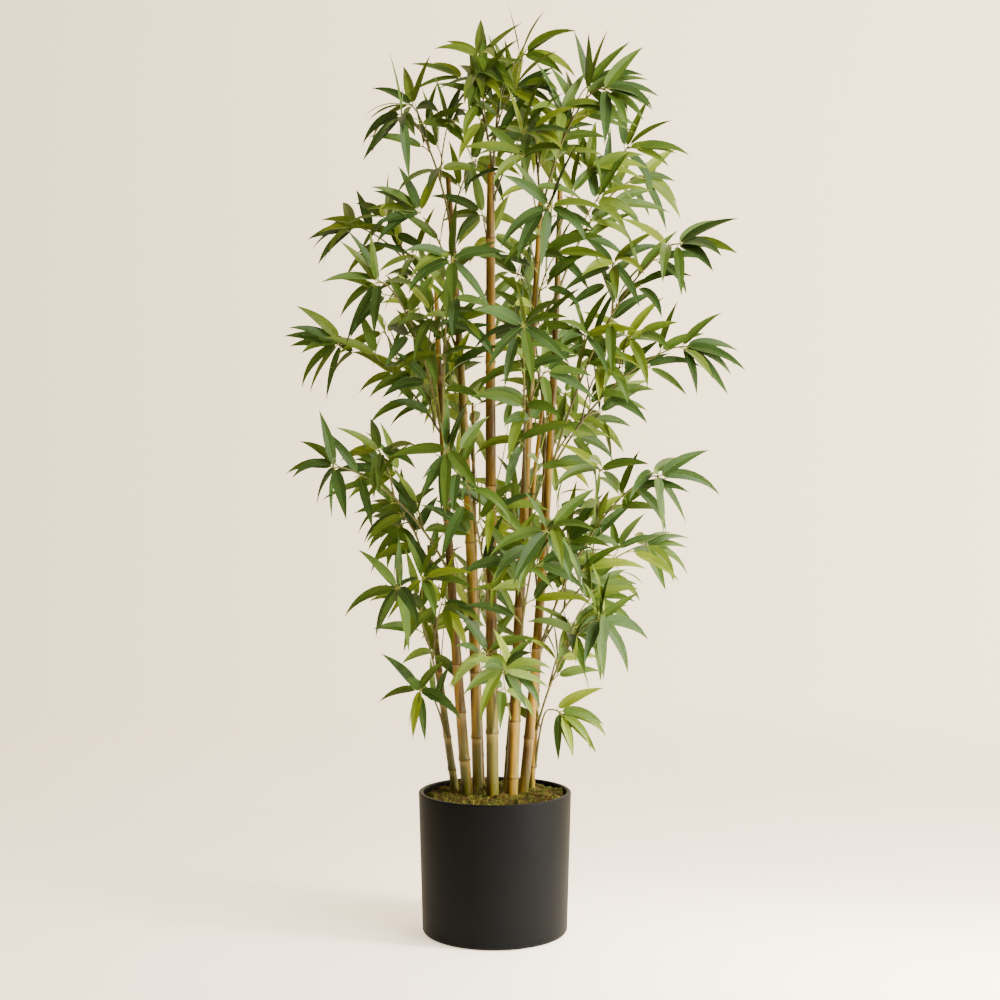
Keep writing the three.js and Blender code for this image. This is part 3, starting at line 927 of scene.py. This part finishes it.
def leaves_mesh(name, leaves):
    """One mesh of all the leaves in a list, each with its own map from stalk to tip."""
    faces = blade_grid()
    size = len(STATIONS) * len(ACROSS)
    corners = np.zeros((len(leaves), len(STATIONS), len(ACROSS), 3))
    for i, (points, side, face, half_width, fold) in enumerate(leaves):
        reach = (BLADE_WIDTH * half_width)[:, None, None] * ACROSS[None, :, None]
        lift = fold * np.abs(reach)
        corners[i] = points[:, None, :] + reach * side[:, None, :] + lift * face[:, None, :]
    mesh = bpy.data.meshes.new(name)
    every = (faces[None] + size * np.arange(len(leaves))[:, None, None]).reshape(-1, 4)
    mesh.from_pydata(corners.reshape(-1, 3).tolist(), [], every.tolist())
    uv = np.stack(np.meshgrid(STATIONS, (ACROSS + 1) / 2, indexing="ij"), -1).reshape(-1, 2)
    layer = mesh.uv_layers.new(name="blade")
    layer.data.foreach_set("uv", np.tile(uv[faces.reshape(-1)], (len(leaves), 1)).ravel())
    ends = np.array([edge.vertices[:] for edge in mesh.edges])
    crease = (ends % len(ACROSS) == MIDDLE).all(1)
    mesh.attributes.new("sharp_edge", "BOOLEAN", "EDGE").data.foreach_set("value", crease)
    return mesh


# %% Join tubes
def tubes_mesh(name, limbs, roundness=0):
    """One mesh of tubes along lists of points, each with its own radii."""
    curve = bpy.data.curves.new(name, "CURVE")
    curve.dimensions = "3D"
    curve.bevel_depth = 1.0
    curve.bevel_resolution = roundness
    curve.use_fill_caps = True
    for points, radii in limbs:
        spline = curve.splines.new("POLY")
        spline.points.add(len(points) - 1)
        spline.points.foreach_set("co", np.column_stack([points, np.ones(len(points))]).ravel())
        spline.points.foreach_set("radius", radii)
    holder = bpy.data.objects.new(name, curve)
    mesh = bpy.data.meshes.new_from_object(holder)
    bpy.data.objects.remove(holder)
    return mesh


leaf_meshes = {kind: leaves_mesh("leaves_" + kind, blades[kind]) for kind in LEAF_KINDS}
print("leaf faces:", {kind: len(mesh.polygons) for kind, mesh in leaf_meshes.items()})

# %% [markdown]
# ## The leaf finishes
# The leaves are printed plastic: deep green, with a paler rib and fine veins along the blade, and
# some are yellow-green. One finish could read a number stored on each leaf, but four greens, each
# with a mesh of its own, are simpler and keep the pieces small. A leaf's green is drawn near its
# spray's tone, which is highest in the middle of the crown, and the sprays at the back of the crown
# are painted lighter too, a painted backlight. The veins follow the blade's own map, so they run
# from stalk to tip.

# %% Leaf and stem finishes
GREENS = {
    "deep": ((0.026, 0.062, 0.012), (0.046, 0.1, 0.017)),
    "middle": ((0.05, 0.104, 0.012), (0.088, 0.154, 0.018)),
    "light": ((0.086, 0.146, 0.011), (0.138, 0.206, 0.017)),
    "fresh": ((0.15, 0.22, 0.013), (0.226, 0.298, 0.02)),
}
STEM_COLOURS = {
    "stalk": ((0.16, 0.22, 0.02), (0.32, 0.36, 0.05)),
    "rib": ((0.09, 0.17, 0.012), (0.16, 0.25, 0.02)),
    "twig": ((0.1, 0.13, 0.012), (0.22, 0.25, 0.03)),
    "bough": ((0.055, 0.045, 0.008), (0.13, 0.125, 0.018)),
}
FINE_CLOUD, BROAD_CLOUD = 30.0, 9.0


def leaf_finish(kind):
    """A printed leaf in one of the greens, cloudy and finely veined."""
    dark, bright = GREENS[kind]
    material, shader, place = new_material("leaf_" + kind, Specular_IOR_Level=0.22)
    cloud = patch(place, 16.0, 3.0)
    map_place = place.out("ShaderNodeUVMap", 0, {"uv_map": "blade"})
    veins = patch(map_place, 30.0, 2.0, (0.05, 1.0, 1.0))
    feed(
        shader,
        Base_Color=blend_colours(contrast(cloud * 0.7 + veins * 0.3, 0.34, 0.64), dark, bright),
        Roughness=0.4 + cloud * 0.16,
        Normal=bump(veins, 0.12, 0.0003),
    )
    return material


def stem_finish(name, scale):
    """The dull coating of stalks, ribs, twigs or boughs."""
    material, shader, place = new_material(name, 0.55)
    cloud = patch(place, scale, 3.0)
    feed(shader, Base_Color=blend_colours(contrast(cloud, 0.36, 0.62), *STEM_COLOURS[name]))
    return material


# %% Add the leaves, stalks, twigs and boughs
for kind, mesh in leaf_meshes.items():
    add_piece("leaves_" + kind, mesh, leaf_finish(kind), mass_names)
stalk, rib = stem_finish("stalk", FINE_CLOUD), stem_finish("rib", FINE_CLOUD)
twig, bough = stem_finish("twig", BROAD_CLOUD), stem_finish("bough", BROAD_CLOUD)
bough_names = sorted(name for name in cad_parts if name.startswith("bough_"))
add_piece("leaf_stalks", tubes_mesh("leaf_stalks", stalks), stalk, mass_names)
add_piece("leaf_ribs", tubes_mesh("leaf_ribs", ribs), rib, mass_names)
add_piece("twigs", tubes_mesh("twigs", twigs, 1), twig, mass_names)
add_piece("boughs", tubes_mesh("boughs", boughs, 1), bough, bough_names)
print("tubes:", len(stalks) + len(ribs) + len(twigs) + len(boughs))

# %% [markdown]
# ## The moss
# Dried moss is a springy mat of short curled fibres. A particle system could scatter them, but its
# hairs aren't meshes, and a finished piece has to be one. So a mound with fine bumps gives the moss
# its body, and thousands of curled fibres in three colours are laid on it by a rule, in small tufts.

# %% The mound under the fibres
moss_low, moss_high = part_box("moss_bed")
MOSS_RADIUS = (moss_high.x - moss_low.x) / 2
MOSS_TOP = float(moss_high.z) - 7 * MM
MOSS_RINGS = 70
MOSS_SIDES = 150
MOSS_EDGE_DROP = 3
MOSS_WAVES = [(6.0, 34, 3.0), (5.0, 95, 8.0), (2.0, 230, 1.0)]
# (height in mm, waves per metre, seed) of the clumps, the tufts and the crumbs


def moss_height(x, y):
    """The height of the moss over a place in the pot."""
    away = math.hypot(x, y) / MOSS_RADIUS
    rise = sum(
        high * noise.noise(Vector((x * often, y * often, seed)))
        for high, often, seed in MOSS_WAVES
    )
    return MOSS_TOP + (rise - MOSS_EDGE_DROP * away**8) * MM


def moss_mound():
    """A closed round bed whose top follows the moss's height."""
    rings = [(MOSS_RADIUS * (1 - i / MOSS_RINGS), MOSS_TOP) for i in range(MOSS_RINGS)]
    profile = [(0, moss_low.z), (MOSS_RADIUS, moss_low.z), *rings, (0, MOSS_TOP)]
    shape = turned(profile, MOSS_SIDES)
    for corner in shape.verts:
        if corner.co.z > moss_low.z + 1 * MM:
            corner.co.z = moss_height(corner.co.x, corner.co.y)
    return mesh_from("moss_mound", shape)


def moss_finish(name, dark, bright):
    """A dull crumbly finish between two colours."""
    material, shader, place = new_material(name, 0.95, Specular_IOR_Level=0.15)
    cloud = patch(place, 55.0, 4.0)
    crumb = patch(place, 420.0, 4.0)
    mixed = contrast(cloud * 0.6 + crumb * 0.4, 0.36, 0.64)
    feed(shader, Base_Color=blend_colours(mixed, dark, bright), Normal=bump(crumb, 0.8, 0.002))
    return material


moss_body = moss_finish("moss_body", (0.012, 0.009, 0.003), (0.07, 0.055, 0.01))
add_piece("moss_mound", moss_mound(), moss_body, ["moss_bed"])
print("moss radius, mm:", round(MOSS_RADIUS / MM), "top at", round(MOSS_TOP / MM))

# %% Curled fibres in tufts of three colours
TUFTS = 260
FIBRES = 11
FIBRE_POINTS = 5
FIBRE_LENGTH = (6, 13)  # mm
FIBRE_CURL = 1.4
TUFT_RISE = (2.0, 6.5)  # mm
TUFT_SPREAD = 1.5  # mm
MOSS_COLOURS = {
    "olive": ((0.052, 0.044, 0.006), (0.125, 0.102, 0.014)),
    "green": ((0.026, 0.036, 0.004), (0.074, 0.086, 0.009)),
    "brown": ((0.024, 0.013, 0.004), (0.08, 0.046, 0.013)),
}


def tuft():
    """A small clump of short curled fibres that spring from one spot of the mound."""
    away = MOSS_RADIUS * 0.97 * math.sqrt(rng.random())
    about = rng.uniform(0, math.tau)
    centre = np.array([away * math.cos(about), away * math.sin(about)])
    rise = rng.uniform(*TUFT_RISE)
    fibres = []
    for _ in range(FIBRES):
        heading, curl = rng.uniform(0, math.tau), rng.normal(0, FIBRE_CURL)
        step = rng.uniform(*FIBRE_LENGTH) * MM / (FIBRE_POINTS - 1)
        x, y = centre + rng.normal(0, TUFT_SPREAD, 2) * MM
        points = []
        for t in np.linspace(0, 1, FIBRE_POINTS):
            angle = heading + curl * t
            x += step * math.cos(angle)
            y += step * math.sin(angle)
            keep = min(1.0, MOSS_RADIUS / max(math.hypot(x, y), 1e-6))
            lift = (0.3 + rise * math.sin(math.pi * min(0.2 + 0.8 * t, 1))) * MM
            points.append((x * keep, y * keep, moss_height(x * keep, y * keep) + lift))
        fibres.append((np.array(points), taper(FIBRE_POINTS, 0.95, 0.4)))
    return fibres


for colour, (dark, bright) in MOSS_COLOURS.items():
    mat = [fibre for _ in range(TUFTS) for fibre in tuft()]
    finish = moss_finish("moss_" + colour, dark, bright)
    add_piece("moss_" + colour, tubes_mesh("moss_" + colour, mat), finish, ["moss_bed"])
print("moss fibres:", TUFTS * FIBRES * len(MOSS_COLOURS))

# %% [markdown]
# ## The fill
# The fill holds the canes in the pot and is hidden by the moss. Modelling it again would show
# nothing, so it keeps its CAD shape and only gets an earthy finish.

# %% Finish the planting fill
DARK_EARTH = (0.03, 0.018, 0.01)
DRY_EARTH = (0.09, 0.06, 0.035)
earthy, fill_shader, fill_place = new_material("earthy_fill", 0.9)
feed(fill_shader, Base_Color=blend_colours(patch(fill_place, 80.0), DARK_EARTH, DRY_EARTH))
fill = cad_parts["planting_fill"]
fill.data.materials.clear()
fill.data.materials.append(earthy)

# %% [markdown]
# ## The floor
# The plant stands on a seamless cream floor. A curved backdrop would do from the front only. So the
# floor is a disc that fades out into the world's own colour, and no edge shows from any side.

# %% The floor
FLOOR_RADIUS = 6.0
FADE_FROM, FADE_TO = 1.2, 3.4
CREAM = (0.86, 0.775, 0.67, 1.0)
CREAM_GLOW = (1.0, 0.83, 0.63, 1.0)


def floor_finish():
    """A cream floor with a faint glow, clear beyond the ring where it fades out."""
    material, shader, place = new_material("studio_floor", 0.8, Specular_IOR_Level=0.2)
    shader.inputs["Base Color"].default_value = CREAM
    shader.inputs["Emission Color"].default_value = CREAM_GLOW
    shader.inputs["Emission Strength"].default_value = 1.15
    tree = material.node_tree
    away = place.out("ShaderNodeVectorMath", 1, {"operation": "LENGTH"}, _0=place)
    fade = contrast(away, FADE_FROM, FADE_TO)
    clear = place.out("ShaderNodeBsdfTransparent")
    solid = Wire(tree, shader.outputs["BSDF"])
    mixed = place.out("ShaderNodeMixShader", 0, None, _0=fade, _1=solid, _2=clear)
    tree.links.new(mixed.socket, tree.nodes["Material Output"].inputs["Surface"])
    return material


floor_shape = bmesh.new()
bmesh.ops.create_circle(floor_shape, cap_ends=True, segments=96, radius=FLOOR_RADIUS)
floor_mesh = bpy.data.meshes.new("studio_floor")
floor_shape.to_mesh(floor_mesh)
floor_shape.free()
floor_mesh.materials.append(floor_finish())
floor = bpy.data.objects.new("studio_floor", floor_mesh)
bpy.context.collection.objects.link(floor)

# %% [markdown]
# ## Light
# A studio's light is large and soft, and a sun lamp would be too hard. A key light at the upper right
# and one level with the canes give them and the leaves their bright side, and one from behind rims
# them. A wash warms the floor on the right, and a small low light throws the faint shadow to the
# left. The world fills in the rest, brighter to the right, and darker in front to keep the pot dark.

# %% Soft lights
def soft_light(name, place, aim, size, power, colour, spread=180):
    """A round lamp of a size in metres and a power in watts, aimed at a point."""
    lamp = bpy.data.lights.new(name, "AREA")
    lamp.shape, lamp.size, lamp.energy, lamp.color = "DISK", size, power, colour
    lamp.spread = math.radians(spread)
    holder = bpy.data.objects.new(name, lamp)
    holder.location = place
    holder.rotation_euler = (Vector(aim) - Vector(place)).to_track_quat("-Z", "Y").to_euler()
    bpy.context.collection.objects.link(holder)


soft_light("key", (2.3, -2.2, 3.1), (0, 0, 0.9), 1.5, 165, (1.0, 0.98, 0.94))
soft_light("side", (2.9, -1.7, 1.0), (0, 0, 0.8), 1.2, 118, (1.0, 0.98, 0.95))
soft_light("back_rim", (1.4, 2.6, 2.8), (0, 0, 1.0), 2.0, 45, (1.0, 0.98, 0.95))
soft_light("floor_wash", (2.4, -0.5, 1.9), (1.3, -0.4, 0.0), 1.6, 42, (1.0, 0.9, 0.76), 80)
soft_light("low_side", (2.5, -0.9, 1.2), (0.0, -0.1, -0.4), 0.5, 14, (1.0, 0.94, 0.86), 34)

# %% The world's light
MIDDLE_STRENGTH, STRENGTH_TO_RIGHT = 3.3, 2.8
FRONT_SHARE, BACK_SHARE = 0.22, 0.78
WARM_WHITE = (1.0, 0.8, 0.52, 1.0)
world = bpy.data.worlds.new("studio")
bpy.context.scene.world = world
world.use_nodes = True
sky_tree = world.node_tree
gaze = Wire(sky_tree, sky_tree.nodes.new("ShaderNodeTexCoord").outputs["Generated"])
sideways = gaze.out("ShaderNodeSeparateXYZ", 0, None, _0=gaze)
behind = gaze.out("ShaderNodeSeparateXYZ", 1, None, _0=gaze)
sky = sky_tree.nodes["Background"]
sky.inputs["Color"].default_value = WARM_WHITE
across = MIDDLE_STRENGTH + sideways * STRENGTH_TO_RIGHT
strength = across * (FRONT_SHARE + contrast(behind, -0.3, 0.95) * BACK_SHARE)
sky_tree.links.new(strength.socket, sky.inputs["Strength"])

# %% [markdown]
# ## Camera
# A level camera at mid height keeps the canes upright. A longer lens from farther off would flatten
# the pot's rim, so it is a lens of 54 mm, about three metres in front of the plant.

# %% The camera
LENS, SENSOR = 54.0, 36.0  # mm
camera_data = bpy.data.cameras.new("front_camera")
camera_data.lens, camera_data.sensor_width = LENS, SENSOR
camera = bpy.data.objects.new("front_camera", camera_data)
camera.location = (0.010, -2.955, 0.847)
camera.rotation_euler = (math.radians(90), 0, 0)
bpy.context.collection.objects.link(camera)
bpy.context.scene.camera = camera
print("field of view, degrees:", round(math.degrees(camera_data.angle), 1))
